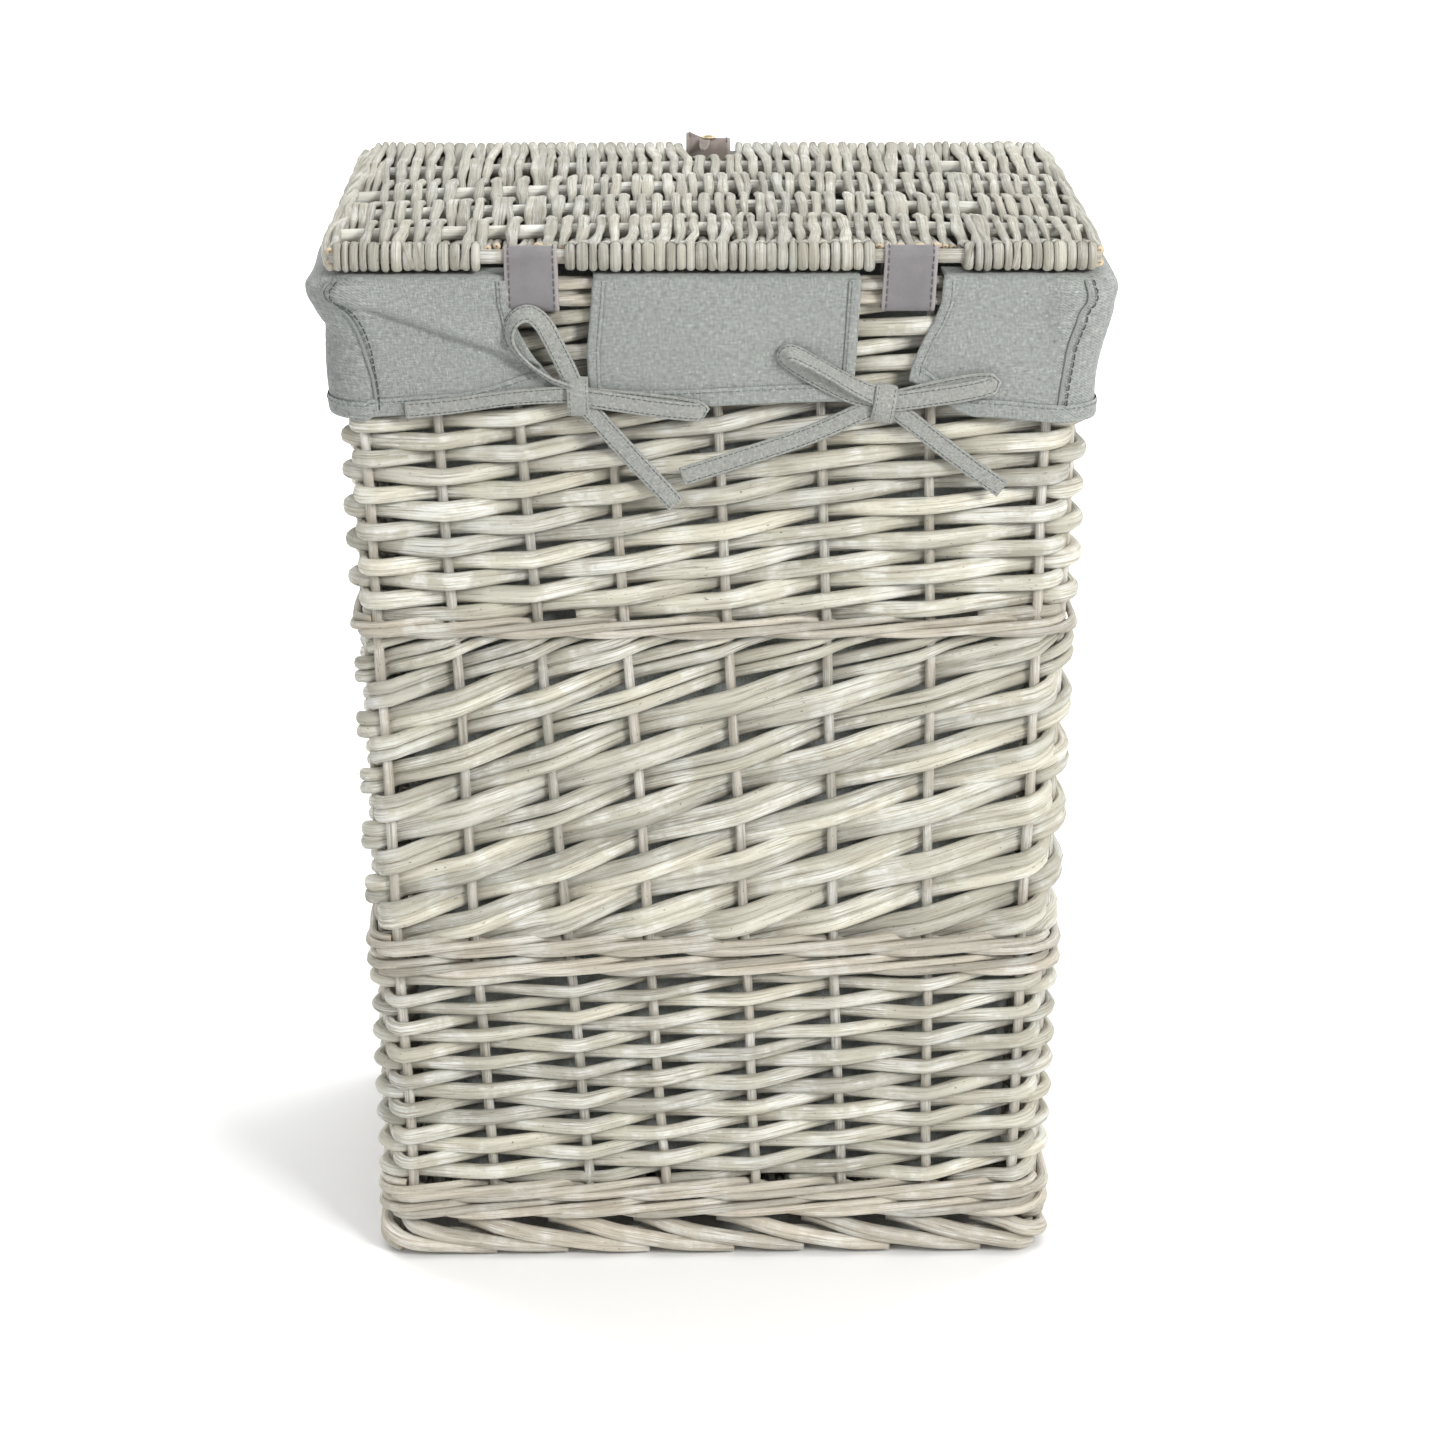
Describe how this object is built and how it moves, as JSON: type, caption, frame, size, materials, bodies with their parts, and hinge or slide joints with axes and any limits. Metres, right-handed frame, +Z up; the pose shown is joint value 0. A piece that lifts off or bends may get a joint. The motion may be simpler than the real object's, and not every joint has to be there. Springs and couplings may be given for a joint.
{
  "type": "lidded laundry basket",
  "caption": "Tapered woven willow laundry basket with a hinged woven lid, a cloth liner folded over the rim, tape bows, leather hinge loops and a leather lifting tab.",
  "frame": {"origin": "on the floor at the middle of the foot", "axes": "+Z up, X along the long side, -Y towards the hinge side with the bows, +Y towards the lid's free edge with the lifting tab"},
  "size_m": [0.43, 0.3145, 0.6251],
  "materials": {
    "willow_stake": "bare peeled willow, pale pinkish beige, faint grey wash",
    "willow_wale": "white-washed willow, matte, streaked grey-brown",
    "willow_siding": "white-washed willow, matte with a soft sheen on the high spots",
    "willow_base": "white-washed willow, matte",
    "willow_lid": "white-washed split willow, matte",
    "liner_cloth": "grey-green linen and cotton plain weave, matte",
    "tie_tape": "folded and stitched cloth tape, matte",
    "strap_leather": "grey-mauve leather, fine grain, stitched edges",
    "rivet_metal": "polished, slightly worn"
  },
  "bodies": {
    "basket": {"stakes_hinge_side": "willow_stake", "stakes_free_side": "willow_stake", "stakes_left_end": "willow_stake", "stakes_right_end": "willow_stake", "foot_border": "willow_wale", "bottom_wale": "willow_wale", "lower_siding": "willow_siding", "middle_wale": "willow_wale", "middle_siding": "willow_siding", "upper_wale": "willow_wale", "upper_siding": "willow_siding", "rim_wale": "willow_wale", "rim_border": "willow_wale", "base_sticks": "willow_base", "base_weave": "willow_base", "liner_bag": "liner_cloth", "liner_cuff": "liner_cloth", "cuff_tie_left": "tie_tape", "cuff_tie_right": "tie_tape", "hinge_strap_left": "strap_leather", "hinge_strap_right": "strap_leather"},
    "lid": {"lid_weave": "willow_lid", "lid_hinge_rod": "willow_lid", "lid_free_edge_rod": "willow_lid", "lid_sticks": "willow_lid", "lid_binding_left": "willow_lid", "lid_binding_right": "willow_lid"},
    "tab": {"lifting_tab": "strap_leather", "lifting_tab_rivet": "rivet_metal"}
  },
  "joints": [
    {"name": "lid_hinge", "type": "hinge", "parent": "basket", "child": "lid", "pos_m": [0, -0.147, 0.611], "axis": [1, 0, 0], "range_deg": [0, 190]},
    {"name": "tab_swing", "type": "hinge", "parent": "lid", "child": "tab", "pos_m": [0, 0.147, 0.611], "axis": [1, 0, 0], "range_deg": [0, 110]}
  ]
}
